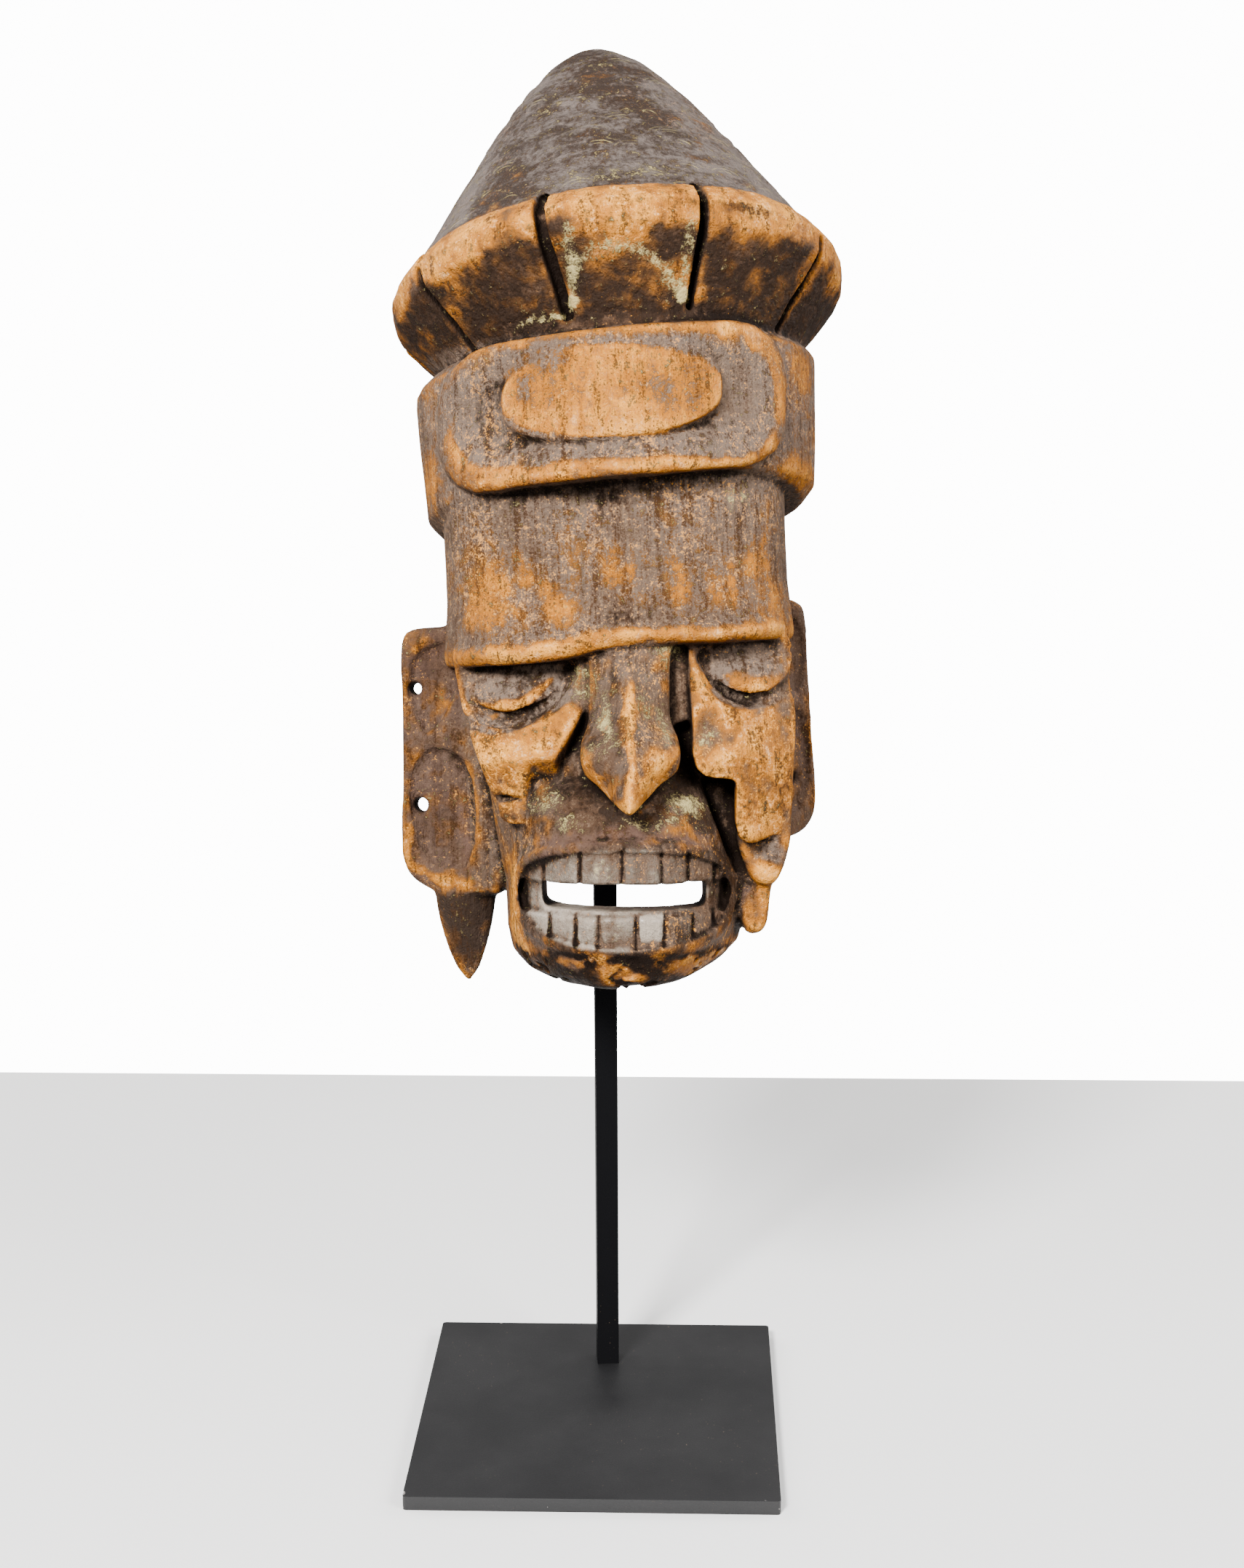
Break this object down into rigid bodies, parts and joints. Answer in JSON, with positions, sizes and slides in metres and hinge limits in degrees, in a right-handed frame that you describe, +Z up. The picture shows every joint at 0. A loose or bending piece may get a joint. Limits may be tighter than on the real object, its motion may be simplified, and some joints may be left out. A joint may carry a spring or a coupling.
{
  "type": "carved wooden mask on a stand",
  "caption": "Tall carved wooden helmet mask with a pointed hat, notched brim, bared teeth and broad ears, held upright by a square bar on a square black base plate.",
  "frame": {"origin": "centre of the base plate's underside", "axes": "+Z up along the mask's height, the face looks along -Y, +X to the right of someone facing the mask"},
  "size_m": [0.1844, 0.2169, 0.5767],
  "materials": {
    "carved_wood": "dry matte carved wood, dark grey-brown patina worn to ochre on the raised edges",
    "stand_paint": "fine satin black paint on steel"
  },
  "bodies": {
    "root": {"mask": "carved_wood", "stand_bar": "stand_paint", "stand_base": "stand_paint"}
  },
  "joints": []
}
